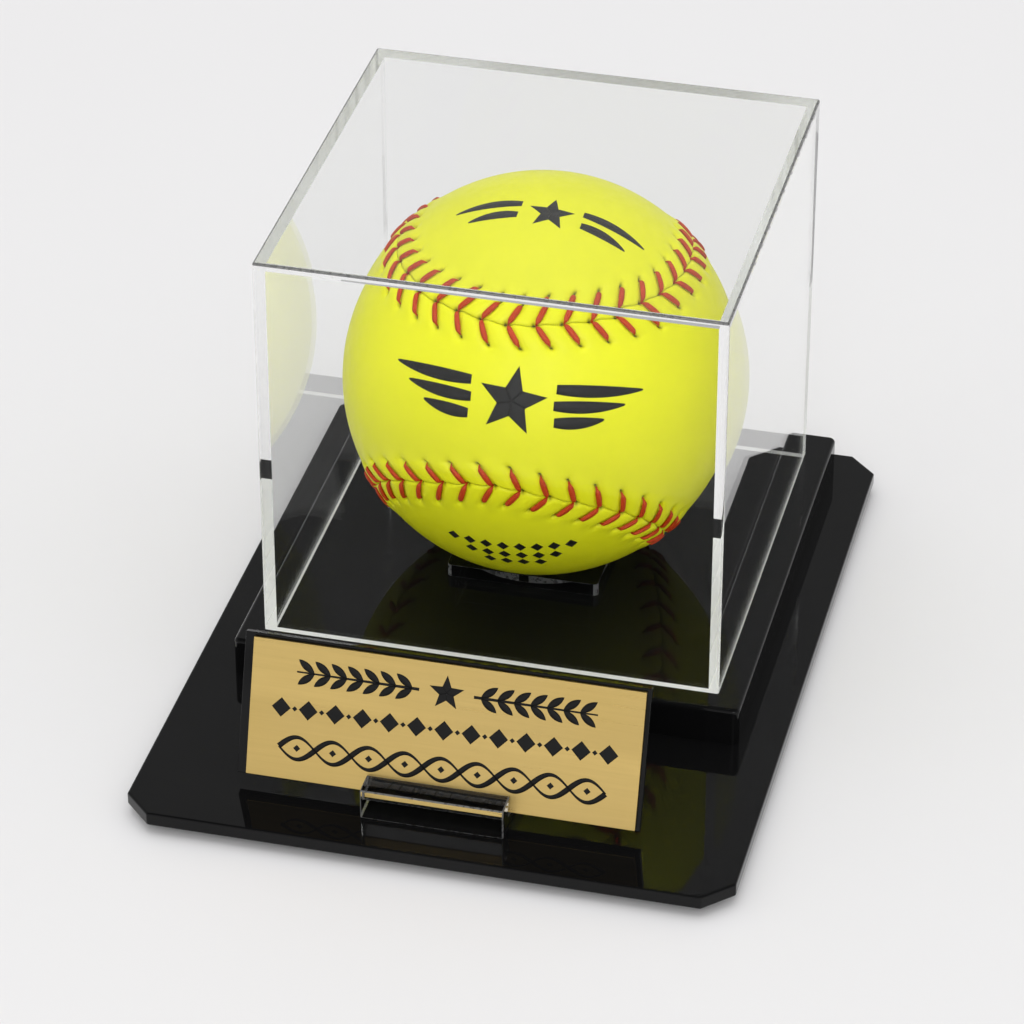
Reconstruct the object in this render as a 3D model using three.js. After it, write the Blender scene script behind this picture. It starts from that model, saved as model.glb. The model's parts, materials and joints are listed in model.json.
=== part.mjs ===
// A display case for one softball. A black base plate stands on four rubber feet and carries a riser,
// a clear lift-off cover glued from five panels, a clear stand under the ball, and a nameplate that
// leans back in the slot of a clear block. The ball has a core under two stitched leather panels.
// Units are millimetres. +Z is up, the front faces -Y, and the origin is the centre of the footprint,
// at the height of the feet's undersides.

import * as THREE from "three";

// Driving dimensions
const base = { width: 134, depth: 176, thickness: 3.2, cornerCut: 6.3, bevel: 0.3 };
const foot = { radius: 4.75, height: 2.2, bevel: 0.4, fromEdge: 14, sides: 24 };
const riser = { side: 115, height: 9, cornerRadius: 1.5, edgeRadius: 1, centreY: 24 };
const cover = { width: 103.5, depth: 101, height: 94.6, wall: 2.5, centreY: 22.5 };
const ball = { radius: 44.45, aboveRiser: 0.8, centreY: 21, leather: 2.45, underLeather: 0.8 };
const seam = { swing: 0.413, gap: 0.25, rungs: 48, steps: 8, tilt: 68, spin: 90 };
const stand = { side: 35, thickness: 3, cornerRadius: 1, ballGap: 0.3, sides: 40 };
const plate = { lean: 18, frontY: -73.7, lift: 3.3, height: 32, width: 89, shiftX: -0.3, thickness: 1.6 };
const gilt = { width: 86, height: 31, thickness: 0.6, shiftX: 0.3, fromBottom: 0.3, gap: 0.3 };
const block = { width: 31.6, depth: 20, height: 7.3, frontY: -78.6, clearance: 0.3 };

// Heights at which the pieces stand on each other
const baseBottom = foot.height;
const baseTop = baseBottom + base.thickness;
const riserTop = baseTop + riser.height;
const ballCentreZ = riserTop + ball.aboveRiser + ball.radius;

const materials = {
  blackAcrylic: new THREE.MeshStandardMaterial({ color: 0x141415, roughness: 0.08 }),
  clearAcrylic: new THREE.MeshStandardMaterial({
    color: 0xf2f5f5,
    roughness: 0.03,
    transparent: true,
    opacity: 0.25,
  }),
  rubber: new THREE.MeshStandardMaterial({ color: 0x1c1c1c, roughness: 0.85 }),
  brass: new THREE.MeshStandardMaterial({ color: 0xc3a565, roughness: 0.32, metalness: 1 }),
  leather: new THREE.MeshStandardMaterial({ color: 0xd6dc2c, roughness: 0.5 }),
  cork: new THREE.MeshStandardMaterial({ color: 0xb08a5a, roughness: 0.9 }),
};

function piece(name, geometry, material) {
  const mesh = new THREE.Mesh(geometry, material);
  mesh.name = name;
  return mesh;
}

function boxPiece(name, size, centre, material) {
  const mesh = piece(name, new THREE.BoxGeometry(...size), material);
  mesh.position.set(...centre);
  return mesh;
}

// A solid from its vertices [x, y, z] and its triangles [a, b, c], turning left seen from outside.
function solid(vertices, triangles) {
  const geometry = new THREE.BufferGeometry();
  geometry.setAttribute("position", new THREE.Float32BufferAttribute(vertices.flat(), 3));
  geometry.setIndex(triangles.flat());
  geometry.computeVertexNormals();
  return geometry;
}

// A plate made of one convex outline drawn at several heights, each pulled in by its own inset.
function layeredPlate(outline, levels) {
  const rings = levels.map(({ z, inset }) => outline(inset).map(([x, y]) => [x, y, z]));
  const count = rings[0].length;
  const top = (rings.length - 1) * count;
  const triangles = [];
  for (let low = 0; low < top; low += count) {
    for (let i = 0; i < count; i++) {
      const next = (i + 1) % count;
      const high = low + count;
      triangles.push([low + i, low + next, high + next], [low + i, high + next, high + i]);
    }
  }
  for (let i = 1; i + 1 < count; i++) {
    triangles.push([0, i + 1, i], [top, top + i, top + i + 1]);
  }
  return solid(rings.flat(), triangles);
}

// Outlines run anticlockwise seen from above, as functions of the inset.
function clippedRectangle(width, depth, cut) {
  const cutLoss = 2 - Math.SQRT2;
  return (inset) => {
    const x = width / 2 - inset;
    const y = depth / 2 - inset;
    const c = cut - cutLoss * inset;
    return [
      [x, y - c],
      [x - c, y],
      [c - x, y],
      [-x, y - c],
      [-x, c - y],
      [c - x, -y],
      [x - c, -y],
      [x, c - y],
    ];
  };
}

function roundedSquare(side, radius) {
  const stepsPerCorner = 4;
  return (inset) => {
    const points = [];
    for (let corner = 0; corner < 4; corner++) {
      const middle = side / 2 - radius;
      const towards = (corner + 0.5) * (Math.PI / 2);
      const centreX = Math.sign(Math.cos(towards)) * middle;
      const centreY = Math.sign(Math.sin(towards)) * middle;
      for (let step = 0; step <= stepsPerCorner; step++) {
        const angle = (corner + step / stepsPerCorner) * (Math.PI / 2);
        const reach = radius - inset;
        points.push([centreX + reach * Math.cos(angle), centreY + reach * Math.sin(angle)]);
      }
    }
    return points;
  };
}

// Levels of a plate whose upper edge is rounded, in a few steps round the quarter circle.
function roundedTopLevels(height, radius, steps) {
  const levels = [{ z: 0, inset: 0 }];
  for (let step = 0; step <= steps; step++) {
    const angle = (step / steps) * (Math.PI / 2);
    levels.push({ z: height - radius * (1 - Math.sin(angle)), inset: radius * (1 - Math.cos(angle)) });
  }
  return levels;
}

function makeBase() {
  const { width, depth, thickness, cornerCut, bevel } = base;
  const levels = [
    { z: 0, inset: bevel },
    { z: bevel, inset: 0 },
    { z: thickness - bevel, inset: 0 },
    { z: thickness, inset: bevel },
  ];
  const outline = clippedRectangle(width, depth, cornerCut);
  const mesh = piece("base_plate", layeredPlate(outline, levels), materials.blackAcrylic);
  mesh.position.z = baseBottom;
  return mesh;
}

function makeFeet() {
  const { radius, height, bevel, fromEdge, sides } = foot;
  const profile = [
    [0, 0],
    [radius - bevel, 0],
    [radius, bevel],
    [radius, height],
    [0, height],
  ].map(([r, z]) => new THREE.Vector2(r, z));
  const places = { front_left: [-1, -1], front_right: [1, -1], back_left: [-1, 1], back_right: [1, 1] };
  return Object.entries(places).map(([place, [sideX, sideY]]) => {
    const turned = new THREE.LatheGeometry(profile, sides).rotateX(Math.PI / 2);
    const mesh = piece(`foot_${place}`, turned, materials.rubber);
    mesh.position.set(sideX * (base.width / 2 - fromEdge), sideY * (base.depth / 2 - fromEdge), 0);
    return mesh;
  });
}

function makeRiser() {
  const { side, height, cornerRadius, edgeRadius, centreY } = riser;
  const outline = roundedSquare(side, cornerRadius);
  const geometry = layeredPlate(outline, roundedTopLevels(height, edgeRadius, 3));
  const mesh = piece("riser", geometry, materials.blackAcrylic);
  mesh.position.set(0, centreY, baseTop);
  return mesh;
}

// The two side panels run the full depth, the front and back panels stand between them, and the top
// panel lies on all four.
function makeCover() {
  const { width, depth, height, wall, centreY } = cover;
  const wallHeight = height - wall;
  const wallCentreZ = riserTop + wallHeight / 2;
  const sideX = (width - wall) / 2;
  const endY = (depth - wall) / 2;
  const sideSize = [wall, depth, wallHeight];
  const endSize = [width - 2 * wall, wall, wallHeight];
  const panels = [
    ["cover_left_panel", sideSize, [-sideX, centreY, wallCentreZ]],
    ["cover_right_panel", sideSize, [sideX, centreY, wallCentreZ]],
    ["cover_front_panel", endSize, [0, centreY - endY, wallCentreZ]],
    ["cover_back_panel", endSize, [0, centreY + endY, wallCentreZ]],
    ["cover_top_panel", [width, depth, wall], [0, centreY, riserTop + height - wall / 2]],
  ];
  return panels.map(([name, size, centre]) => boxPiece(name, size, centre, materials.clearAcrylic));
}

// A square plate with a round hole, which the ball sits in with its underside just off the riser.
function makeStand() {
  const { side, thickness, cornerRadius, ballGap, sides } = stand;
  const drop = ballCentreZ - riserTop - thickness;
  const holeRadius = Math.sqrt((ball.radius + ballGap) ** 2 - drop ** 2);
  const corners = roundedSquare(side, cornerRadius)(0);
  const outline = new THREE.Shape(corners.map(([x, y]) => new THREE.Vector2(x, y)));
  outline.holes.push(new THREE.Path().absarc(0, 0, holeRadius, 0, 2 * Math.PI, true));
  const geometry = new THREE.ExtrudeGeometry(outline, {
    depth: thickness,
    bevelEnabled: false,
    curveSegments: sides,
  });
  const mesh = piece("ball_stand", geometry, materials.clearAcrylic);
  mesh.position.set(0, ball.centreY, riserTop);
  return mesh;
}

// The seam on a unit sphere, for t from 0 to 4 pi: a closed curve that swings twice up and twice down.
function seamPoint(t) {
  const latitude = (Math.PI / 2 - seam.swing) * Math.cos(t);
  const longitude = t / 2 + seam.swing * Math.sin(2 * t);
  return new THREE.Vector3(
    Math.cos(latitude) * Math.cos(longitude),
    Math.cos(latitude) * Math.sin(longitude),
    Math.sin(latitude),
  );
}

// The unit directions across a panel, from its seam on one side to its seam on the other, each end
// kept back by half the seam's gap.
function rungDirections(t) {
  const start = seamPoint(t);
  const end = seamPoint(2 * Math.PI - t);
  const span = start.angleTo(end);
  const keepBack = seam.gap / ball.radius;
  const directions = [];
  for (let step = 0; step <= seam.steps; step++) {
    const angle = keepBack + (step / seam.steps) * (span - 2 * keepBack);
    const fromStart = Math.sin(span - angle) / Math.sin(span);
    const fromEnd = Math.sin(angle) / Math.sin(span);
    directions.push(start.clone().multiplyScalar(fromStart).addScaledVector(end, fromEnd));
  }
  return directions;
}

// One leather panel, a waisted shape with two round lobes. Its outer and inner skins share one grid of
// rungs, and a wall along the grid's border closes it.
function leatherPanelGeometry() {
  const rungs = [];
  for (let rung = 1; rung < seam.rungs; rung++) {
    rungs.push(rungDirections(-Math.PI + (2 * Math.PI * rung) / seam.rungs));
  }
  const across = seam.steps + 1;
  const perSkin = rungs.length * across;
  const skin = (radius) => rungs.flat().map((d) => d.clone().multiplyScalar(radius).toArray());
  const triangles = [];
  for (let rung = 0; rung + 1 < rungs.length; rung++) {
    for (let step = 0; step + 1 < across; step++) {
      const a = rung * across + step;
      const b = a + 1;
      const c = b + across;
      const d = a + across;
      triangles.push([a, c, b], [a, d, c]);
      triangles.push([perSkin + a, perSkin + b, perSkin + c], [perSkin + a, perSkin + c, perSkin + d]);
    }
  }
  const last = perSkin - across;
  const border = [];
  for (let step = 0; step < seam.steps; step++) border.push(step);
  for (let rung = 0; rung + 1 < rungs.length; rung++) border.push(rung * across + seam.steps);
  for (let step = seam.steps; step > 0; step--) border.push(last + step);
  for (let rung = rungs.length - 1; rung > 0; rung--) border.push(rung * across);
  border.forEach((from, i) => {
    const to = border[(i + 1) % border.length];
    triangles.push([from, to, perSkin + to], [from, perSkin + to, perSkin + from]);
  });
  return solid([...skin(ball.radius), ...skin(ball.radius - ball.leather)], triangles);
}

// The two panels have the same shape. A half turn about the diagonal of X and Y carries one to the
// other, and the tilt and spin set how the seam faces the front.
function makeBall() {
  const group = new THREE.Group();
  const coreRadius = ball.radius - ball.leather - ball.underLeather;
  const core = piece("ball_core", new THREE.SphereGeometry(coreRadius, 28, 16), materials.cork);
  const front = piece("ball_front_leather", leatherPanelGeometry(), materials.leather);
  const back = piece("ball_back_leather", leatherPanelGeometry(), materials.leather);
  back.quaternion.setFromAxisAngle(new THREE.Vector3(1, 1, 0).normalize(), Math.PI);
  group.add(core, front, back);
  group.rotation.set(THREE.MathUtils.degToRad(seam.tilt), 0, THREE.MathUtils.degToRad(seam.spin));
  group.position.set(0, ball.centreY, ballCentreZ);
  return group;
}

// The nameplate's own frame: X to the right, Z up the leaning plate, Y into its thickness. Its origin
// is the bottom front edge of the gilt face.
const lean = THREE.MathUtils.degToRad(plate.lean);
const plateOriginZ = baseTop + plate.lift;
const backingFront = gilt.thickness + gilt.gap;
const plateBack = backingFront + plate.thickness;

function makeNameplate() {
  const group = new THREE.Group();
  const face = boxPiece(
    "nameplate_face",
    [gilt.width, gilt.thickness, gilt.height],
    [gilt.shiftX, gilt.thickness / 2, gilt.fromBottom + gilt.height / 2],
    materials.brass,
  );
  const backing = boxPiece(
    "nameplate_backing",
    [plate.width, plate.thickness, plate.height],
    [plate.shiftX, backingFront + plate.thickness / 2, plate.height / 2],
    materials.blackAcrylic,
  );
  group.add(face, backing);
  group.rotation.x = -lean;
  group.position.set(0, plate.frontY, plateOriginZ);
  return group;
}

// The block's side view, cut by a slot that leans with the plate and clears it all round.
function makeBlock() {
  const { width, depth, height, frontY, clearance } = block;
  const top = baseTop + height;
  const slotFront = -clearance;
  const slotBack = plateBack + clearance;
  const slotFloor = (into) => [
    plate.frontY + into * Math.cos(lean) - clearance * Math.sin(lean),
    plateOriginZ - into * Math.sin(lean) - clearance * Math.cos(lean),
  ];
  const slotLip = (into) => {
    const [y, z] = slotFloor(into);
    return [y + (top - z) * Math.tan(lean), top];
  };
  const outline = [
    [frontY, baseTop],
    [frontY + depth, baseTop],
    [frontY + depth, top],
    slotLip(slotBack),
    slotFloor(slotBack),
    slotFloor(slotFront),
    slotLip(slotFront),
    [frontY, top],
  ];
  const sideView = new THREE.Shape(outline.map(([y, z]) => new THREE.Vector2(y, z)));
  const geometry = new THREE.ExtrudeGeometry(sideView, { depth: width, bevelEnabled: false });
  const axes = [new THREE.Vector3(0, 1, 0), new THREE.Vector3(0, 0, 1), new THREE.Vector3(1, 0, 0)];
  geometry.applyMatrix4(new THREE.Matrix4().makeBasis(...axes));
  const mesh = piece("nameplate_block", geometry, materials.clearAcrylic);
  mesh.position.x = -width / 2;
  return mesh;
}

const displayCase = new THREE.Group();
displayCase.add(makeBase(), ...makeFeet(), makeRiser(), ...makeCover(), makeStand());
displayCase.add(makeBall(), makeNameplate(), makeBlock());

export default displayCase;
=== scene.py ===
"""The looks of a softball display case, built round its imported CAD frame.

Sizes come from the frame's own boxes. Lengths are in metres in the scene; MM turns millimetres into them.
"""

import json
import math

import bmesh
import bpy
import numpy as np
from mathutils import Matrix, Vector


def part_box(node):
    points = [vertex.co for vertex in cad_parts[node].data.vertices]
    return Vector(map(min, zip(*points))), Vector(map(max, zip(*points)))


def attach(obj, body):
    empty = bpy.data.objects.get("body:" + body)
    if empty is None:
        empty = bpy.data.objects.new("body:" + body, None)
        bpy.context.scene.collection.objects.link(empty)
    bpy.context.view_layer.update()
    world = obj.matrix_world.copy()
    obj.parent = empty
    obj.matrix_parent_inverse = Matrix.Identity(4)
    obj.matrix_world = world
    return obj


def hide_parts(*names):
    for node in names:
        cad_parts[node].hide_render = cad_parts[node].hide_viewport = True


MM = 0.001
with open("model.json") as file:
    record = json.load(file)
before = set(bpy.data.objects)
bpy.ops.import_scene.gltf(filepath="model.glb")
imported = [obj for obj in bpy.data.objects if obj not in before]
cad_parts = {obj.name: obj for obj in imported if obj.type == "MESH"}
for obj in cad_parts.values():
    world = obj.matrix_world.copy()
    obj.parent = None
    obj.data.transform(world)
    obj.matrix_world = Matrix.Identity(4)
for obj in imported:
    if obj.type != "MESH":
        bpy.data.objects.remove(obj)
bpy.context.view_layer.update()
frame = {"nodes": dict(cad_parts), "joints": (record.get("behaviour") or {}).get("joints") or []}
scene = bpy.context.scene


# ---------------------------------------------------------------- camera

CAMERA_PLACE = Vector((0.2054, -0.8364, 0.6050))
CAMERA_AZIMUTH = math.radians(13.91)
CAMERA_ELEVATION = math.radians(33.45)
CAMERA_LENS = 162.4
SENSOR_WIDTH = 36.0


def make_camera():
    data = bpy.data.cameras.new("camera")
    data.sensor_width = SENSOR_WIDTH
    data.lens = CAMERA_LENS
    data.clip_start = 0.01
    data.clip_end = 50
    camera = bpy.data.objects.new("camera", data)
    camera.location = CAMERA_PLACE
    camera.rotation_euler = (math.pi / 2 - CAMERA_ELEVATION, 0, CAMERA_AZIMUTH)
    scene.collection.objects.link(camera)
    scene.camera = camera


make_camera()


# ---------------------------------------------------------------- materials

def new_material(name):
    """A node material with a Principled shader, as (material, nodes, links, shader)."""
    material = bpy.data.materials.new(name)
    material.use_nodes = True
    tree = material.node_tree
    return material, tree.nodes, tree.links, tree.nodes["Principled BSDF"]


def object_noise(nodes, links, scale, detail=3.0, roughness=0.55, stretch=(1, 1, 1)):
    """Noise in the object's own coordinates, with features about 1 / scale metres across."""
    place = nodes.new("ShaderNodeTexCoord")
    mapping = nodes.new("ShaderNodeMapping")
    mapping.inputs["Scale"].default_value = stretch
    noise = nodes.new("ShaderNodeTexNoise")
    noise.inputs["Scale"].default_value = scale
    noise.inputs["Detail"].default_value = detail
    noise.inputs["Roughness"].default_value = roughness
    links.new(place.outputs["Object"], mapping.inputs["Vector"])
    links.new(mapping.outputs["Vector"], noise.inputs["Vector"])
    return noise.outputs["Fac"]


def remap(nodes, links, value, low, high, start=0.3, end=0.7):
    node = nodes.new("ShaderNodeMapRange")
    node.inputs["From Min"].default_value = start
    node.inputs["From Max"].default_value = end
    node.inputs["To Min"].default_value = low
    node.inputs["To Max"].default_value = high
    links.new(value, node.inputs["Value"])
    return node.outputs["Result"]


def mix_colours(nodes, links, factor, first, second):
    """Mixes two colours, each a socket or an RGB triple, by a factor socket."""
    node = nodes.new("ShaderNodeMix")
    node.data_type = "RGBA"
    links.new(factor, node.inputs["Factor"])
    for socket, colour in ((node.inputs[6], first), (node.inputs[7], second)):
        if isinstance(colour, tuple):
            socket.default_value = (*colour, 1)
        else:
            links.new(colour, socket)
    return node.outputs[2]


def bump(nodes, links, height, distance, strength=1.0, under=None):
    node = nodes.new("ShaderNodeBump")
    node.inputs["Distance"].default_value = distance
    node.inputs["Strength"].default_value = strength
    links.new(height, node.inputs["Height"])
    if under is not None:
        links.new(under, node.inputs["Normal"])
    return node.outputs["Normal"]


def make_black_acrylic():
    """Cast black acrylic, polished, with the faint haze that handling leaves."""
    material, nodes, links, shader = new_material("black_acrylic")
    haze = object_noise(nodes, links, 40, detail=4)
    shader.inputs["IOR"].default_value = 1.42
    shader.inputs["Specular IOR Level"].default_value = 0.25
    links.new(mix_colours(nodes, links, haze, (0.003, 0.003, 0.0032), (0.006, 0.006, 0.0062)),
              shader.inputs["Base Color"])
    links.new(remap(nodes, links, haze, 0.015, 0.05), shader.inputs["Roughness"])
    return material


def make_clear_acrylic():
    """Clear acrylic that refracts for the eye and lets lamplight straight through."""
    material, nodes, links, shader = new_material("clear_acrylic")
    shader.inputs["Base Color"].default_value = (0.995, 0.998, 0.995, 1)
    shader.inputs["IOR"].default_value = 1.49
    shader.inputs["Specular Tint"].default_value = (0.2, 0.2, 0.2, 1)
    shader.inputs["Transmission Weight"].default_value = 1.0
    haze = object_noise(nodes, links, 60, detail=2)
    links.new(remap(nodes, links, haze, 0.0, 0.002), shader.inputs["Roughness"])
    clear = nodes.new("ShaderNodeBsdfTransparent")
    clear.inputs["Color"].default_value = (0.97, 0.975, 0.97, 1)
    path = nodes.new("ShaderNodeLightPath")
    mix = nodes.new("ShaderNodeMixShader")
    links.new(path.outputs["Is Shadow Ray"], mix.inputs["Fac"])
    links.new(shader.outputs["BSDF"], mix.inputs[1])
    links.new(clear.outputs["BSDF"], mix.inputs[2])
    links.new(mix.outputs["Shader"], nodes["Material Output"].inputs["Surface"])
    return material


def make_sawn_acrylic():
    """The cover's bottom rim, left as sawn: matt white, with saw marks across it."""
    material, nodes, links, shader = new_material("sawn_acrylic")
    marks = object_noise(nodes, links, 1200, detail=2, stretch=(1, 1, 0.1))
    links.new(mix_colours(nodes, links, marks, (0.84, 0.85, 0.84), (0.93, 0.94, 0.93)),
              shader.inputs["Base Color"])
    links.new(remap(nodes, links, marks, 0.75, 0.9), shader.inputs["Roughness"])
    links.new(bump(nodes, links, marks, 0.05 * MM, 0.4), shader.inputs["Normal"])
    return material


def make_edge_line_painted_shade():
    """Edges of clear acrylic scraped round and left satin, with a dark grey colour that paints a thin shaded
    line along each edge.
    """
    material, nodes, links, shader = new_material("edge_line_painted_shade")
    scrape = object_noise(nodes, links, 800, detail=3)
    # The dark grey is painted shade that draws the edge line; the roughness and bump are the satin finish.
    links.new(mix_colours(nodes, links, scrape, (0.08, 0.08, 0.08), (0.22, 0.22, 0.22)),
              shader.inputs["Base Color"])
    links.new(remap(nodes, links, scrape, 0.2, 0.4), shader.inputs["Roughness"])
    links.new(bump(nodes, links, scrape, 0.03 * MM, 0.3), shader.inputs["Normal"])
    shader.inputs["Transmission Weight"].default_value = 0.35
    shader.inputs["IOR"].default_value = 1.49
    return material


def make_cemented_black():
    """What shows through a cemented joint onto black acrylic: no air, so no mirror image."""
    material, nodes, links, shader = new_material("cemented_black")
    cement = object_noise(nodes, links, 700, detail=3)
    links.new(mix_colours(nodes, links, cement, (0.003, 0.003, 0.003), (0.008, 0.008, 0.008)),
              shader.inputs["Base Color"])
    shader.inputs["Roughness"].default_value = 0.6
    shader.inputs["IOR"].default_value = 1.02
    return material


def make_brass():
    """A thin brass-coloured plate, brushed along its length."""
    material, nodes, links, shader = new_material("brushed_brass")
    shader.inputs["Metallic"].default_value = 1.0
    shader.inputs["Anisotropic"].default_value = 0.5
    brushing = object_noise(nodes, links, 900, detail=3, roughness=0.7, stretch=(0.03, 1, 1))
    tone = object_noise(nodes, links, 35, detail=3)
    fine = mix_colours(nodes, links, brushing, (0.60, 0.42, 0.135), (0.76, 0.55, 0.20))
    colour = mix_colours(nodes, links, remap(nodes, links, tone, 0.0, 0.25), fine, (0.70, 0.52, 0.22))
    links.new(colour, shader.inputs["Base Color"])
    links.new(remap(nodes, links, brushing, 0.26, 0.38), shader.inputs["Roughness"])
    links.new(bump(nodes, links, brushing, 0.02 * MM, 0.5), shader.inputs["Normal"])
    return material


def make_rubber():
    material, nodes, links, shader = new_material("foot_rubber")
    grain = object_noise(nodes, links, 1500)
    links.new(mix_colours(nodes, links, grain, (0.012, 0.012, 0.012), (0.028, 0.028, 0.027)),
              shader.inputs["Base Color"])
    links.new(remap(nodes, links, grain, 0.7, 0.9), shader.inputs["Roughness"])
    links.new(bump(nodes, links, grain, 0.08 * MM, 0.4), shader.inputs["Normal"])
    return material


def make_leather():
    """Bright yellow ball leather: mottled and finely grained, with painted shade down in the seam and the
    holes.
    """
    material, nodes, links, shader = new_material("ball_leather")
    mottle = object_noise(nodes, links, 70, detail=4)
    pores = object_noise(nodes, links, 1400, detail=2, roughness=0.6)
    grain = object_noise(nodes, links, 420, detail=4, roughness=0.6)
    yellow = mix_colours(nodes, links, mottle, (0.73, 0.75, 0.008), (0.81, 0.81, 0.013))
    rubbed = mix_colours(nodes, links, remap(nodes, links, grain, 0.0, 0.22), yellow, (0.66, 0.69, 0.008))
    # The crease attribute carries painted shade: where it is 1 the leather is painted near black, for the
    # shade down in the seam, the holes and the notches.
    crease = nodes.new("ShaderNodeAttribute")
    crease.attribute_name = "crease"
    colour = mix_colours(nodes, links, crease.outputs["Fac"], rubbed, (0.055, 0.05, 0.004))
    links.new(colour, shader.inputs["Base Color"])
    links.new(remap(nodes, links, grain, 0.36, 0.5), shader.inputs["Roughness"])
    shader.inputs["Specular IOR Level"].default_value = 0.22
    under = bump(nodes, links, grain, 0.12 * MM, 0.45)
    links.new(bump(nodes, links, pores, 0.05 * MM, 0.45, under), shader.inputs["Normal"])
    return material


def make_thread():
    """Waxed red thread, with fine fibres along it."""
    material, nodes, links, shader = new_material("seam_thread")
    fibres = object_noise(nodes, links, 2600, detail=3, roughness=0.7)
    links.new(mix_colours(nodes, links, fibres, (0.34, 0.020, 0.003), (0.62, 0.066, 0.006)),
              shader.inputs["Base Color"])
    shader.inputs["Roughness"].default_value = 0.5
    shader.inputs["Specular IOR Level"].default_value = 0.3
    links.new(bump(nodes, links, fibres, 0.08 * MM, 0.5), shader.inputs["Normal"])
    return material


def make_ink(name, dark, light, roughness):
    """Black print or engraving paint, slightly uneven."""
    material, nodes, links, shader = new_material(name)
    patchy = object_noise(nodes, links, 900, detail=3)
    links.new(mix_colours(nodes, links, patchy, (dark,) * 3, (light,) * 3), shader.inputs["Base Color"])
    links.new(remap(nodes, links, patchy, roughness - 0.06, roughness + 0.06), shader.inputs["Roughness"])
    shader.inputs["Specular IOR Level"].default_value = 0.2
    links.new(bump(nodes, links, patchy, 0.03 * MM, 0.3), shader.inputs["Normal"])
    return material


def make_cork():
    material, nodes, links, shader = new_material("ball_core")
    grains = object_noise(nodes, links, 500, detail=4)
    links.new(mix_colours(nodes, links, grains, (0.30, 0.17, 0.07), (0.50, 0.32, 0.15)),
              shader.inputs["Base Color"])
    links.new(remap(nodes, links, grains, 0.8, 0.95), shader.inputs["Roughness"])
    return material


def make_floor_paint():
    material, nodes, links, shader = new_material("floor_paint")
    tone = object_noise(nodes, links, 6, detail=4)
    links.new(mix_colours(nodes, links, tone, (0.742, 0.736, 0.742), (0.757, 0.751, 0.757)),
              shader.inputs["Base Color"])
    shader.inputs["Roughness"].default_value = 0.9
    shader.inputs["Specular IOR Level"].default_value = 0.1
    return material


black_acrylic = make_black_acrylic()
clear_acrylic = make_clear_acrylic()
sawn_acrylic = make_sawn_acrylic()
edge_line_painted_shade = make_edge_line_painted_shade()
cemented_black = make_cemented_black()
brass = make_brass()
rubber = make_rubber()
leather = make_leather()
thread = make_thread()
ball_ink = make_ink("ball_ink", 0.008, 0.018, 0.5)
plate_ink = make_ink("plate_ink", 0.004, 0.010, 0.55)
cork = make_cork()


# ---------------------------------------------------------------- stage and light

FLOOR_SIZE = 12.0
TENT_STRENGTH = 0.87
# How bright the studio looks at each height, from the horizon (0) to straight overhead (1)
STUDIO_TONES = ((0.0, 0.86), (0.12, 0.80), (0.40, 0.48), (0.62, 0.42), (0.80, 0.06), (1.0, 0.02))


def make_floor():
    mesh = bpy.data.meshes.new("floor")
    half = FLOOR_SIZE / 2
    corners = [(-half, -half, 0), (half, -half, 0), (half, half, 0), (-half, half, 0)]
    mesh.from_pydata(corners, [], [(0, 1, 2, 3)])
    mesh.materials.append(make_floor_paint())
    floor = bpy.data.objects.new("floor", mesh)
    scene.collection.objects.link(floor)


def make_world():
    """A white light tent for what it lights, and a darker studio for what shines in polished faces."""
    world = bpy.data.worlds.new("studio")
    scene.world = world
    world.use_nodes = True
    nodes, links = world.node_tree.nodes, world.node_tree.links
    place = nodes.new("ShaderNodeTexCoord")
    split = nodes.new("ShaderNodeSeparateXYZ")
    ramp = nodes.new("ShaderNodeValToRGB")
    stops = ramp.color_ramp.elements
    stops[0].position, stops[1].position = 0.0, 1.0
    stops[0].color = (*(STUDIO_TONES[0][1],) * 3, 1)
    stops[1].color = (*(STUDIO_TONES[-1][1],) * 3, 1)
    for height, tone in STUDIO_TONES[1:-1]:
        stops.new(height).color = (tone, tone, tone, 1)
    links.new(place.outputs["Generated"], split.inputs["Vector"])
    links.new(split.outputs["Z"], ramp.inputs["Fac"])
    links.new(ramp.outputs["Color"], nodes["Background"].inputs["Color"])
    tent = nodes.new("ShaderNodeBackground")
    tent.inputs["Color"].default_value = (1, 1, 1, 1)
    tent.inputs["Strength"].default_value = TENT_STRENGTH
    path = nodes.new("ShaderNodeLightPath")
    mix = nodes.new("ShaderNodeMixShader")
    links.new(path.outputs["Diffuse Depth"], mix.inputs["Fac"])
    links.new(nodes["Background"].outputs["Background"], mix.inputs[1])
    links.new(tent.outputs["Background"], mix.inputs[2])
    links.new(mix.outputs["Shader"], nodes["World Output"].inputs["Surface"])


def make_softbox(name, place, target, size, power):
    data = bpy.data.lights.new(name, "AREA")
    data.shape = "RECTANGLE"
    data.size, data.size_y = size
    data.energy = power
    light = bpy.data.objects.new(name, data)
    light.location = place
    light.rotation_euler = (Vector(target) - Vector(place)).to_track_quat("-Z", "Y").to_euler()
    scene.collection.objects.link(light)
    return light


make_floor()
make_world()
make_softbox("key", (0.3, -1.7, 1.2), (0, 0, 0.05), (1.0, 1.0), 9.5)
overhead = make_softbox("overhead", (-0.05, 0.1, 2.2), (0, 0, 0.05), (1.5, 1.5), 11)
overhead.visible_glossy = False


# ---------------------------------------------------------------- mesh helpers

def link_mesh(name, mesh, material, body, replaced=()):
    """Puts a mesh in the scene as a piece that rides on a body."""
    mesh.materials.clear()
    mesh.materials.append(material)
    piece = bpy.data.objects.new(name, mesh)
    scene.collection.objects.link(piece)
    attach(piece, body)
    if replaced:
        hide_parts(*replaced)
    return piece


def mesh_from(name, vertices, faces, smooth=True):
    mesh = bpy.data.meshes.new(name)
    mesh.from_pydata([tuple(v) for v in vertices], [], [tuple(f) for f in faces])
    if smooth:
        mesh.shade_smooth()
    return mesh


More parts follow.
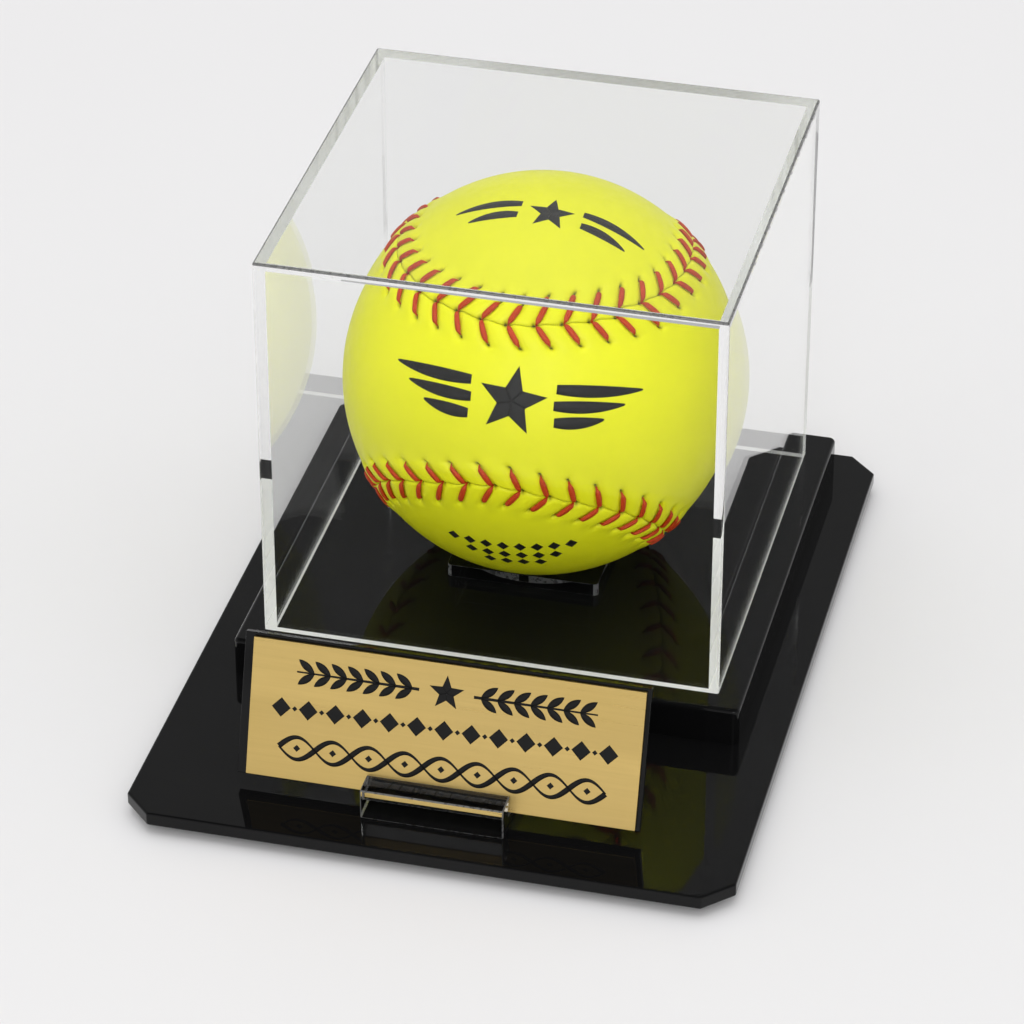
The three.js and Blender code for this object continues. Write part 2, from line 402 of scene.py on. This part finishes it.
def mesh_of(bm, name):
    """Turns a bmesh into a mesh that is smooth over its rounded edges and sharp at its square ones."""
    bmesh.ops.recalc_face_normals(bm, faces=bm.faces)
    mesh = bpy.data.meshes.new(name)
    bm.to_mesh(mesh)
    bm.free()
    mesh.shade_smooth()
    mesh.set_sharp_from_angle(angle=math.radians(40))
    return mesh


def keep_flats_flat(piece):
    modifier = piece.modifiers.new("flat_faces", "WEIGHTED_NORMAL")
    modifier.keep_sharp = True
    modifier.weight = 100


def box_bmesh(low, high):
    bm = bmesh.new()
    bmesh.ops.create_cube(bm, size=1)
    middle, size = (Vector(low) + Vector(high)) / 2, Vector(high) - Vector(low)
    bmesh.ops.transform(bm, matrix=Matrix.Translation(middle) @ Matrix.Diagonal((*size, 1)), verts=bm.verts)
    return bm


def round_edges(bm, chosen, radius, segments):
    edges = [e for e in bm.edges if chosen(e)]
    bmesh.ops.bevel(bm, geom=edges, offset=radius, segments=segments, profile=0.5,
                    affect="EDGES", clamp_overlap=True)


def is_upright(edge):
    along = edge.verts[1].co - edge.verts[0].co
    return abs(along.z) > 0.99 * along.length


def sharp_edge(edge):
    return len(edge.link_faces) == 2 and edge.calc_face_angle() > math.radians(20)


def solid_of(node):
    """A CAD node's shape as a bmesh, with doubled corners merged and flat faces whole."""
    bm = bmesh.new()
    bm.from_mesh(frame["nodes"][node].data)
    bmesh.ops.remove_doubles(bm, verts=bm.verts, dist=0.001 * MM)
    bmesh.ops.dissolve_limit(bm, angle_limit=math.radians(1), verts=bm.verts, edges=bm.edges)
    return bm


# ---------------------------------------------------------------- base, feet and riser

def make_polished(name, node, radius, material, body):
    """A CAD node's shape with every sharp edge polished to a fine radius."""
    bm = solid_of(node)
    round_edges(bm, sharp_edge, radius, 3)
    piece = link_mesh(name, mesh_of(bm, name), material, body, [node])
    keep_flats_flat(piece)
    return piece


def make_riser():
    low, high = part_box("riser")
    bm = box_bmesh(low, high)
    round_edges(bm, is_upright, 1.5 * MM, 6)
    round_edges(bm, lambda e: sharp_edge(e) and min(v.co.z for v in e.verts) > high.z - 0.1 * MM, 1.0 * MM, 5)
    piece = link_mesh("riser_block", mesh_of(bm, "riser_block"), black_acrylic, "base",
                      ["riser"])
    keep_flats_flat(piece)


def make_feet():
    for node in (n for n in frame["nodes"] if n.startswith("foot_")):
        bm = solid_of(node)
        round_edges(bm, lambda e: sharp_edge(e) and e.calc_face_angle() > math.radians(40), 0.3 * MM, 3)
        piece = link_mesh(node.replace("foot", "bumper"), mesh_of(bm, node), rubber, "base",
                          [node])
        keep_flats_flat(piece)


make_polished("base_slab", "base_plate", 0.2 * MM, black_acrylic, "base")
make_riser()
make_feet()


# ---------------------------------------------------------------- clear cover, stand and block

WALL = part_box("cover_left_panel")[1].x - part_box("cover_left_panel")[0].x
LIFT_OFF = 0.03 * MM   # air under clear pieces, so that two surfaces don't share one plane
COVER_EDGE_RADIUS = 0.5 * MM
EDGE_FACE_AREA = 30 * MM * MM   # more than any strip of a rounded edge, less than any slanted face


def is_edge_strip(face):
    """True of a narrow face on a rounded edge, which lies square to no axis."""
    return face.area < EDGE_FACE_AREA and max(abs(n) for n in face.normal) < 0.995


def finish_clear(piece, underside, lowest_tilt=-1.0):
    """Gives a clear piece's underside its own material, and satin with a painted dark shade line to the edges
    that face up enough.
    """
    piece.data.materials.append(underside)
    piece.data.materials.append(edge_line_painted_shade)
    floor = min(v.co.z for v in piece.data.vertices)
    for face in piece.data.polygons:
        if face.center.z < floor + 0.01 * MM:
            face.material_index = 1
        elif is_edge_strip(face) and face.normal.z > lowest_tilt:
            face.material_index = 2


def make_cover():
    """The five glued panels as one clear shell: joints glued with clear cement don't show inside."""
    left_low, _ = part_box("cover_left_panel")
    right_low, right_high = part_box("cover_right_panel")
    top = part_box("cover_top_panel")[1].z
    low = Vector((left_low.x, left_low.y, left_low.z + LIFT_OFF))
    high = Vector((right_high.x, right_high.y, top))
    inner_low = Vector((low.x + WALL, low.y + WALL, low.z))
    inner_high = Vector((high.x - WALL, high.y - WALL, high.z - WALL))

    def corners(a, b):
        return [(x, y, z) for z in (a.z, b.z) for x, y in ((a.x, a.y), (b.x, a.y), (b.x, b.y), (a.x, b.y))]

    bm = bmesh.new()
    outer = [bm.verts.new(c) for c in corners(low, high)]
    inner = [bm.verts.new(c) for c in corners(inner_low, inner_high)]
    for i in range(4):
        j = (i + 1) % 4
        bm.faces.new((outer[i], outer[j], outer[4 + j], outer[4 + i]))
        bm.faces.new((inner[j], inner[i], inner[4 + i], inner[4 + j]))
        bm.faces.new((outer[j], outer[i], inner[i], inner[j]))
    bm.faces.new(outer[4:])
    bm.faces.new(reversed(inner[4:]))
    outside = set(outer)
    round_edges(bm, lambda e: set(e.verts) <= outside and (is_upright(e) or e.verts[0].co.z > high.z - MM),
                COVER_EDGE_RADIUS, 4)
    panels = [n for n in frame["nodes"] if n.startswith("cover_")]
    piece = link_mesh("clear_cover", mesh_of(bm, "clear_cover"), clear_acrylic, "cover",
                      panels)
    finish_clear(piece, sawn_acrylic, 0.1)
    keep_flats_flat(piece)


def make_clear_block(name, node, radius):
    """A clear piece whose underside is cemented to black acrylic, so it shows black from inside."""
    piece = make_polished(name, node, radius, clear_acrylic, "base")
    for vertex in piece.data.vertices:
        vertex.co.z += LIFT_OFF
    finish_clear(piece, cemented_black)


make_cover()
make_clear_block("stand_plate", "ball_stand", 0.25 * MM)
make_clear_block("slotted_block", "nameplate_block", 0.3 * MM)


# ---------------------------------------------------------------- ball

leather_boxes = [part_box("ball_front_leather"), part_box("ball_back_leather")]
BALL_LOW = Vector([min(b[0][i] for b in leather_boxes) for i in range(3)])
BALL_HIGH = Vector([max(b[1][i] for b in leather_boxes) for i in range(3)])
BALL_CENTRE = np.array((BALL_LOW + BALL_HIGH) / 2)
BALL_RADIUS = max(BALL_HIGH - BALL_LOW) / 2
SEAM_TILT = math.radians(68)
SEAM_SPIN = math.radians(90)
BALL_TURN = np.array(Matrix.Rotation(SEAM_TILT, 3, "X") @ Matrix.Rotation(SEAM_SPIN, 3, "Z"))
SEAM_SWING = 0.413
STITCHES = 80
STITCH_REACH = 4.35 * MM
STITCH_SLANT = 2.6 * MM
HOLE_PLACE = 5.0 * MM     # from the seam to the middle of each stitch hole
SEAM_DEPTH = 2.3 * MM     # how far down each panel's edge turns
SEAM_SAMPLES = 4000
COARSE_SAMPLES = 400


def seam_table():
    """The seam on a unit sphere at even steps of arc length: points, side directions, and its length."""
    t = np.linspace(0, 4 * np.pi, 8 * SEAM_SAMPLES + 1)
    latitude = (np.pi / 2 - SEAM_SWING) * np.cos(t)
    longitude = t / 2 + SEAM_SWING * np.sin(2 * t)
    curve = np.stack([np.cos(latitude) * np.cos(longitude), np.cos(latitude) * np.sin(longitude),
                      np.sin(latitude)], axis=1)
    run = np.concatenate([[0], np.cumsum(np.linalg.norm(np.diff(curve, axis=0), axis=1))])
    even = np.linspace(0, run[-1], SEAM_SAMPLES, endpoint=False)
    points = np.stack([np.interp(even, run, curve[:, i]) for i in range(3)], axis=1)
    points /= np.linalg.norm(points, axis=1, keepdims=True)
    along = np.roll(points, -1, axis=0) - np.roll(points, 1, axis=0)
    along /= np.linalg.norm(along, axis=1, keepdims=True)
    return points, np.cross(points, along), run[-1] * BALL_RADIUS


SEAM_POINTS, SEAM_SIDES, SEAM_LENGTH = seam_table()
PITCH = SEAM_LENGTH / STITCHES


def seam_frame(run):
    """Seam points and side directions at distances along the seam, in metres."""
    place = np.asarray(run) / SEAM_LENGTH * SEAM_SAMPLES
    first = np.floor(place).astype(int)
    share = (place - first)[..., None]
    a, b = first % SEAM_SAMPLES, (first + 1) % SEAM_SAMPLES
    points = SEAM_POINTS[a] * (1 - share) + SEAM_POINTS[b] * share
    sides = SEAM_SIDES[a] * (1 - share) + SEAM_SIDES[b] * share
    return (points / np.linalg.norm(points, axis=-1, keepdims=True),
            sides / np.linalg.norm(sides, axis=-1, keepdims=True))


def beside_seam(run, across, height):
    """Points in the ball's frame: run along the seam, across to one side, height above the sphere."""
    points, sides = seam_frame(run)
    angle = (np.asarray(across) / BALL_RADIUS)[..., None]
    direction = points * np.cos(angle) + sides * np.sin(angle)
    return direction * (BALL_RADIUS + np.asarray(height))[..., None]


def seam_coordinates(directions):
    """For unit directions, the distance along the seam of the nearest seam point, and the signed
    distance across to it. A coarse search finds the stretch, and a few steps along it the point."""
    step = SEAM_SAMPLES // COARSE_SAMPLES
    coarse = SEAM_POINTS[::step].astype(np.float32).T
    parts = np.array_split(directions.astype(np.float32), max(1, len(directions) // 40000))
    nearest = np.concatenate([np.argmax(part @ coarse, axis=1) for part in parts])
    run = nearest * step * SEAM_LENGTH / SEAM_SAMPLES
    for _ in range(4):
        here, side = seam_frame(run)
        run = run + BALL_RADIUS * np.einsum("ij,ij->i", directions, np.cross(side, here))
    here, side = seam_frame(run)
    across = BALL_RADIUS * np.arctan2(np.einsum("ij,ij->i", directions, side),
                                      np.einsum("ij,ij->i", directions, here))
    return run, across


def stitch_phase(run):
    """Distance along the seam from the nearest stitch's point, within half a pitch."""
    return (run + PITCH / 2) % PITCH - PITCH / 2


def smooth_fall(value, full, gone):
    """1 up to full, falling smoothly to 0 at gone."""
    t = np.clip((value - full) / (gone - full), 0, 1)
    return 1 - t * t * (3 - 2 * t)


def bell(value, width):
    """1 at 0, falling to nothing over about twice the width."""
    return np.exp(-(value / width) ** 2)


def from_meeting_line(run, across):
    """Distance across from the line where the leather edges meet, which wanders between stitches."""
    wander = 0.14 * MM * np.sin(2 * np.pi * run / PITCH)
    return across - wander * smooth_fall(np.abs(across), 0.6 * MM, 1.6 * MM)


def leather_relief(run, across):
    """Height of the leather above the sphere, and how much painted shade each point gets for lying on the
    seam line, in a stitch hole or in a notch (0 to 1).
    """
    away = np.abs(across)
    from_leg = stitch_phase(run + STITCH_SLANT * np.minimum(away / STITCH_REACH, 1.25))
    meeting = np.abs(from_meeting_line(run, across))
    near = smooth_fall(away, 3.2 * MM, 8.0 * MM)
    pillow = 0.48 * MM * near * (1 - bell(from_leg, 1.5 * MM))
    leg = -0.26 * MM * bell(from_leg, 0.8 * MM) * smooth_fall(away, 4.3 * MM, 5.2 * MM)
    crease = np.exp(-meeting / (0.30 * MM))
    hole = bell(away - HOLE_PLACE, 0.46 * MM) * bell(from_leg, 0.42 * MM)
    dimple = bell(away - HOLE_PLACE - 0.1 * MM, 1.2 * MM) * bell(from_leg, 1.2 * MM)
    notch = bell(away, 0.7 * MM) * bell(stitch_phase(run) - 0.5 * MM, 0.5 * MM)
    height = pillow + leg - 0.5 * MM * crease - 0.9 * MM * hole - 0.30 * MM * dimple - 0.3 * MM * notch
    # Painted shade: dark along the line where the edges meet, in each hole and in each notch.
    painted_shade = np.clip(0.40 * np.exp(-meeting / (0.09 * MM)) + 1.1 * hole ** 1.5 + 0.9 * notch ** 1.6, 0, 1)
    return height, painted_shade


def split_edges(vertices, faces, values, split_at):
    """Splits chosen edges and every triangle on them. split_at takes the values at the edges' two ends
    and gives where along each edge to split it, or a negative number to leave it whole."""
    pairs = np.sort(faces[:, [[0, 1], [1, 2], [2, 0]]].reshape(-1, 2), axis=1)
    edges, which = np.unique(pairs, axis=0, return_inverse=True)
    which = which.reshape(-1, 3)
    share = split_at(values[edges[:, 0]], values[edges[:, 1]])
    cut = share >= 0
    added = np.full(len(edges), -1)
    added[cut] = len(vertices) + np.arange(cut.sum())
    ends, t = edges[cut], share[cut][:, None]
    new = vertices[ends[:, 0]] * (1 - t) + vertices[ends[:, 1]] * t
    new /= np.linalg.norm(new, axis=1, keepdims=True)
    middles = added[which]
    count = (middles >= 0).sum(axis=1)
    pieces = [faces[count == 0]]
    for cuts in (1, 2, 3):
        chosen, mids = faces[count == cuts], middles[count == cuts]
        for turn in range(3):
            f, m = np.roll(chosen, -turn, axis=1), np.roll(mids, -turn, axis=1)
            if cuts == 1:
                here = m[:, 0] >= 0
                f, m = f[here], m[here]
                pieces += [np.stack([f[:, 0], m[:, 0], f[:, 2]], 1), np.stack([m[:, 0], f[:, 1], f[:, 2]], 1)]
            elif cuts == 2:
                here = m[:, 2] < 0
                f, m = f[here], m[here]
                pieces += [np.stack([m[:, 0], f[:, 1], m[:, 1]], 1), np.stack([f[:, 0], m[:, 0], m[:, 1]], 1),
                           np.stack([f[:, 0], m[:, 1], f[:, 2]], 1)]
            elif turn == 0:
                pieces += [np.stack([f[:, 0], m[:, 0], m[:, 2]], 1), np.stack([m[:, 0], f[:, 1], m[:, 1]], 1),
                           np.stack([m[:, 2], m[:, 1], f[:, 2]], 1), m]
    return np.concatenate([vertices, new]), np.concatenate(pieces)


def fine_sphere():
    """A unit sphere of triangles, fine near the seam and cut exactly along it."""
    bm = bmesh.new()
    bmesh.ops.create_icosphere(bm, subdivisions=7, radius=1)
    vertices = np.array([v.co for v in bm.verts])
    vertices /= np.linalg.norm(vertices, axis=1, keepdims=True)
    faces = np.array([[v.index for v in f.verts] for f in bm.faces])
    bm.free()
    for reach in (9.0 * MM, 6.8 * MM):
        away = np.abs(seam_coordinates(vertices)[1])
        vertices, faces = split_edges(
            vertices, faces, away, lambda a, b, reach=reach: np.where(np.minimum(a, b) < reach, 0.5, -1.0))
    run, across = seam_coordinates(vertices)
    across = from_meeting_line(run, across)
    across[np.abs(across) < 0.004 * MM] = 0
    vertices, faces = split_edges(
        vertices, faces, across,
        lambda a, b: np.where(a * b < 0, np.abs(a) / np.maximum(np.abs(a) + np.abs(b), 1e-12), -1.0))
    return vertices, faces


def to_world(points):
    return points @ BALL_TURN.T + BALL_CENTRE


def panel_mesh(name, vertices, faces, height, painted_shade):
    """One leather panel: its relief, and an edge turned down into the seam, painted fully dark as shade."""
    used, faces = np.unique(faces, return_inverse=True)
    faces = faces.reshape(-1, 3)
    outer = vertices[used] * (BALL_RADIUS + height[used])[:, None]
    edges = faces[:, [[0, 1], [1, 2], [2, 0]]].reshape(-1, 2)
    keys = edges.min(axis=1) * len(used) + edges.max(axis=1)
    _, first, count = np.unique(keys, return_index=True, return_counts=True)
    rim = edges[first[count == 1]]
    rim_points = np.unique(rim)
    lower = np.full(len(used), -1)
    lower[rim_points] = len(used) + np.arange(len(rim_points))
    inner = vertices[used][rim_points] * (BALL_RADIUS - SEAM_DEPTH)
    walls = np.concatenate([np.stack([rim[:, 1], rim[:, 0], lower[rim[:, 0]]], 1),
                            np.stack([rim[:, 1], lower[rim[:, 0]], lower[rim[:, 1]]], 1)])
    mesh = mesh_from(name, to_world(np.concatenate([outer, inner])), np.concatenate([faces, walls]))
    # The crease attribute is painted shade: the relief's painted shade on top, and full painted shade on the
    # edge turned down into the seam.
    attribute = mesh.attributes.new("crease", "FLOAT", "POINT")
    shade = np.concatenate([painted_shade[used], np.ones(len(rim_points))])
    attribute.data.foreach_set("value", shade.astype(np.float32))
    return mesh


def make_leather_panels():
    vertices, faces = fine_sphere()
    run, across = seam_coordinates(vertices)
    height, painted_shade = leather_relief(run, across)
    centres = vertices[faces].mean(axis=1)
    centre_run, centre_across = seam_coordinates(centres / np.linalg.norm(centres, axis=1, keepdims=True))
    front = from_meeting_line(centre_run, centre_across) > 0
    front_has_pole = front[np.argmax(centres[:, 2])]
    for name, side in (("front", front == front_has_pole), ("back", front != front_has_pole)):
        mesh = panel_mesh(f"{name}_panel", vertices, faces[side], height, painted_shade)
        link_mesh(f"{name}_panel", mesh, leather, "ball", [f"ball_{name}_leather"])


THREAD_STEPS = 16
THREAD_SIDES = 24
THREAD_HALF_WIDTH = 0.66 * MM
THREAD_HALF_HEIGHT = 0.44 * MM


def stitch_leg(run, side):
    """One leg of a V stitch, from the seam to its hole: a bundle of strands, as vertices and faces."""
    share = np.linspace(0, 1, THREAD_STEPS + 1)
    across = side * (STITCH_REACH + 0.35 * MM) * share
    along = run - STITCH_SLANT * np.abs(across) / STITCH_REACH
    rise = np.minimum(share / 0.14, (1 - share) / 0.12)
    height = (-0.75 + 1.0 * np.clip(rise, 0, 1) ** 0.6 + 0.20 * np.sin(np.pi * share)) * MM
    line = beside_seam(along, across, height)
    up = line / np.linalg.norm(line, axis=1, keepdims=True)
    ahead = np.gradient(line, axis=0)
    ahead /= np.linalg.norm(ahead, axis=1, keepdims=True)
    sideways = np.cross(up, ahead)
    swell = (0.66 + 0.34 * np.sin(np.pi * share) ** 0.6)[:, None]
    angle = np.linspace(0, 2 * np.pi, THREAD_SIDES, endpoint=False)[None, :]
    twist = 0.9 * share[:, None]
    lobes = 1 - 0.3 * np.cos(2 * (angle + twist)) ** 6
    wide = THREAD_HALF_WIDTH * swell * lobes * np.cos(angle)
    tall = THREAD_HALF_HEIGHT * swell * lobes * np.sin(angle)
    rings = line[:, None] + wide[..., None] * sideways[:, None] + tall[..., None] * up[:, None]
    vertices = rings.reshape(-1, 3)
    faces = []
    for step in range(THREAD_STEPS):
        for i in range(THREAD_SIDES):
            j = (i + 1) % THREAD_SIDES
            a, b = step * THREAD_SIDES, (step + 1) * THREAD_SIDES
            faces.append((a + i, a + j, b + j, b + i))
    faces.append(tuple(reversed(range(THREAD_SIDES))))
    faces.append(tuple(range(THREAD_STEPS * THREAD_SIDES, (THREAD_STEPS + 1) * THREAD_SIDES)))
    return vertices, faces


def make_stitches():
    vertices, faces = [], []
    total = 0
    for stitch in range(STITCHES):
        for side in (-1, 1):
            points, loops = stitch_leg(stitch * PITCH, side)
            vertices.append(points)
            faces += [tuple(total + i for i in loop) for loop in loops]
            total += len(points)
    mesh = mesh_from("seam_stitches", to_world(np.concatenate(vertices)), faces)
    link_mesh("seam_stitches", mesh, thread, "ball")


# Marks are made of four-sided patches, each a fine grid, in millimetres on a flat sheet.

def patch(corners, cells=8):
    """A grid over four corners given in order round the patch, as points and faces."""
    a, b, c, d = (np.array(p, float) for p in corners)
    u = np.linspace(0, 1, cells + 1)[:, None, None]
    v = np.linspace(0, 1, cells + 1)[None, :, None]
    grid = (a * (1 - u) + b * u) * (1 - v) + (d * (1 - u) + c * u) * v
    return grid.reshape(-1, 2), grid_faces(cells, cells)


def grid_faces(rows, columns):
    across = columns + 1
    return [(r * across + c, (r + 1) * across + c, (r + 1) * across + c + 1, r * across + c + 1)
            for r in range(rows) for c in range(columns)]


def star(centre, radius, lean=0.0):
    """Five kites round a centre."""
    centre = np.array(centre, float)

    def at(turn, reach):
        angle = math.radians(90 + lean) + turn * 2 * math.pi / 10
        return centre + reach * np.array([math.cos(angle), math.sin(angle)])

    inner = 0.42 * radius
    return [patch([centre, at(2 * k - 1, inner), at(2 * k, radius), at(2 * k + 1, inner)]) for k in range(5)]


def diamond(x, y, wide, tall):
    return patch([(x - wide, y), (x, y - tall), (x + wide, y), (x, y + tall)])


def leaf(x, y, length, width, turn):
    """A pointed oval, lying along a direction turned from the x axis."""
    along = np.array([math.cos(turn), math.sin(turn)])
    root = np.array([x, y], float)
    return band(lambda t: root + along * length * t, lambda t: 0.5 * width * math.sin(math.pi * t) ** 0.8, 12)


def band(middle, half_width, steps=48):
    """A ribbon round a curve: middle(t) gives its points and half_width(t) its half width, t 0 to 1."""
    t = np.linspace(0, 1, steps + 1)
    line = np.array([middle(x) for x in t])
    ahead = np.gradient(line, axis=0)
    ahead /= np.linalg.norm(ahead, axis=1, keepdims=True)
    side = np.stack([-ahead[:, 1], ahead[:, 0]], axis=1)
    half = np.array([half_width(x) for x in t])[:, None]
    rows = np.stack([line - side * half, line, line + side * half], axis=1)
    return rows.reshape(-1, 2), grid_faces(steps, 2)


def mark_mesh(name, patches, place):
    """Joins patches into one mesh, each point put in the world by place(points in millimetres)."""
    vertices, faces, total = [], [], 0
    for points, loops in patches:
        vertices.append(place(points))
        faces += [tuple(total + i for i in loop) for loop in loops]
        total += len(points)
    return mesh_from(name, np.concatenate(vertices), faces)


def on_ball(tilt, shift):
    """Puts a flat mark on the front of the ball: tilt above the front panel's middle, shift to the right."""
    def place(points):
        right = np.array([0.0, -1.0, 0.0])
        up = np.array([math.cos(tilt), 0.0, -math.sin(tilt)])
        out = np.array([math.sin(tilt), 0.0, math.cos(tilt)])
        flat = (points + np.array([shift, 0.0])) * MM
        reach = np.maximum(np.linalg.norm(flat, axis=1, keepdims=True), 1e-9)
        angle = reach / BALL_RADIUS
        direction = out * np.cos(angle) + (flat[:, :1] * right + flat[:, 1:] * up) / reach * np.sin(angle)
        return to_world(direction * (BALL_RADIUS + 0.035 * MM))
    return place


def add_mark(name, patches, place, material, body):
    mesh = mark_mesh(name, patches, place)
    piece = link_mesh(name, mesh, material, body)
    thickness = piece.modifiers.new("thickness", "SOLIDIFY")
    thickness.thickness = 0.08 * MM
    thickness.offset = -1 if mesh.polygons[0].normal.dot(Vector((0, -1, 0))) > 0 else 1
    return piece


def wings(levels, half_width, lift):
    """Tapering bars on both sides: each level is (height, start, end), and the bars curve up by lift."""
    def shape(x):
        return half_width * (0.12 + 0.88 * math.sin(math.pi * min(1.0, 0.22 + 0.78 * x)) ** 0.8)

    def bar(side, height, start, end):
        return band(lambda x: (side * (start + (end - start) * x), height + lift * x * x), shape)

    return [bar(side, *level) for side in (-1, 1) for level in levels]


def make_ball_marks():
    """Plain printed ornament in three places: two winged stars, and three rows of diamonds."""
    main = star((0, 0), 7.8, -6) + wings(((3.6, 9.4, 29.0), (-0.1, 9.1, 25.0), (-3.8, 9.5, 20.5)), 1.4, 1.5)
    add_mark("main_mark", main, on_ball(0.045, 3.2), ball_ink, "ball")

    top = star((0, 0), 5.3) + wings(((2.2, 6.9, 22.0), (-1.7, 7.1, 18.0)), 1.25, -2.2)
    add_mark("top_mark", top, on_ball(math.radians(60), 3.3), ball_ink, "ball")

    low = []
    for height, count in ((0, 8), (-3.8, 6), (-7.4, 4)):
        for i in range(count):
            low.append(diamond((i - (count - 1) / 2) * 3.8, height, 1.4, 1.6))
    add_mark("low_mark", low, on_ball(math.radians(-48), 3.0), ball_ink, "ball")


make_leather_panels()
make_stitches()
make_ball_marks()
frame["nodes"]["ball_core"].data.materials.clear()
frame["nodes"]["ball_core"].data.materials.append(cork)


# ---------------------------------------------------------------- nameplate

slide_axis = next(j["axis"] for j in frame["joints"] if j["name"] == "nameplate_slide")
LEAN = math.atan2(slide_axis[1], slide_axis[2])
LEAN_TURN = Matrix.Rotation(-LEAN, 4, "X")


def leaning_box(node):
    """A node's lowest and highest corners in the nameplate's leaning frame."""
    back = LEAN_TURN.inverted()
    places = np.array([back @ v.co for v in frame["nodes"][node].data.vertices])
    return places.min(axis=0), places.max(axis=0)


def make_leaning_plate(name, low, high, radius, material, node):
    bm = box_bmesh(low, high)
    round_edges(bm, sharp_edge, radius, 3)
    bmesh.ops.transform(bm, matrix=LEAN_TURN, verts=bm.verts)
    piece = link_mesh(name, mesh_of(bm, name), material, "nameplate", [node])
    keep_flats_flat(piece)


def make_nameplate():
    face_low, face_high = leaning_box("nameplate_face")
    back_low, back_high = leaning_box("nameplate_backing")
    face_high[1] = back_low[1]
    make_leaning_plate("brass_face", face_low, face_high, 0.12 * MM, brass,
                       "nameplate_face")
    make_leaning_plate("black_backing", back_low, back_high, 0.15 * MM, black_acrylic,
                       "nameplate_backing")

    centre_x = (face_low[0] + face_high[0]) / 2
    centre_z = (face_low[2] + face_high[2]) / 2

    def place(points):
        sheet = np.column_stack([centre_x + points[:, 0] * MM,
                                 np.full(len(points), face_low[1] - 0.02 * MM),
                                 centre_z + points[:, 1] * MM])
        return sheet @ np.array(LEAN_TURN.to_3x3()).T

    add_mark("engraving", engraving(), place, plate_ink, "nameplate")


def engraving():
    """Three rows of ornament: a laurel branch on each side of a star, a chain, and a braid."""
    rows = star((0, 9.0), 4.0)
    for side in (-1, 1):
        rows.append(band(lambda x, s=side: (s * (6 + 27 * x), 9.0), lambda x: 0.34 - 0.16 * x))
        for i in range(7):
            for tilt in (-1, 1):
                outward = 0 if side > 0 else math.pi
                turn = outward + side * tilt * math.radians(38)
                rows.append(leaf(side * (7.5 + 3.6 * i), 9.0, 4.6, 1.7, turn))
    for i in range(-6, 7):
        rows.append(diamond(6.0 * i, 0.6, 2.1, 2.2))
    for i in range(-6, 6):
        rows.append(diamond(6.0 * i + 3.0, 0.6, 0.6, 0.6))
    for strand in (-1, 1):
        rows.append(band(lambda x, s=strand: (72 * (x - 0.5), -8.2 + s * 2.5 * math.sin(9 * math.pi * x)),
                         lambda x, s=strand: 0.42 + 0.2 * s * math.cos(9 * math.pi * x), 320))
    for i in range(9):
        rows.append(diamond(8.0 * (i - 4), -8.2, 0.8, 0.8))
    return rows


make_nameplate()


# ---------------------------------------------------------------- render quality and finish

scene.cycles.max_bounces = 72
scene.cycles.transmission_bounces = 72
scene.cycles.transparent_max_bounces = 24
scene.cycles.glossy_bounces = 72
scene.cycles.diffuse_bounces = 4
scene.view_settings.view_transform = "Standard"
